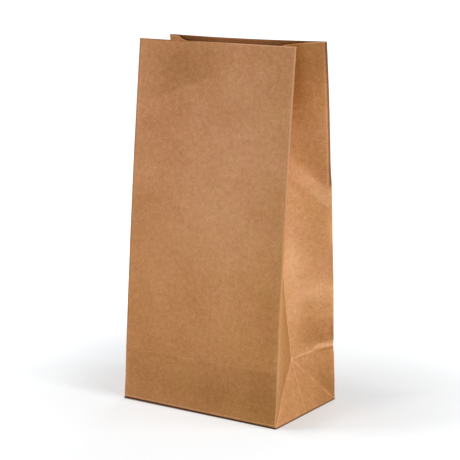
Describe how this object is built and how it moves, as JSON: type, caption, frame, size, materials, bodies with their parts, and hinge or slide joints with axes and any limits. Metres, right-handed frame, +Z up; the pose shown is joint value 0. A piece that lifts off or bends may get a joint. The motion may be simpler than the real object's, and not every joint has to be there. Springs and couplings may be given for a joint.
{
  "type": "paper lunch bag",
  "caption": "Gusseted block-bottom paper bag standing open, folded from one sheet of brown kraft, for carrying a packed lunch.",
  "frame": {"origin": "middle of the base, on the surface the bag stands on", "axes": "+Z up through the mouth, +X to the right across the front panel, -Y out of the front panel"},
  "size_m": [0.13, 0.08, 0.2594],
  "materials": {
    "kraft_paper": "matt unbleached brown kraft, lightly fibrous, paler along the creases"
  },
  "bodies": {
    "root": {"paper_bag": "kraft_paper"}
  },
  "joints": []
}
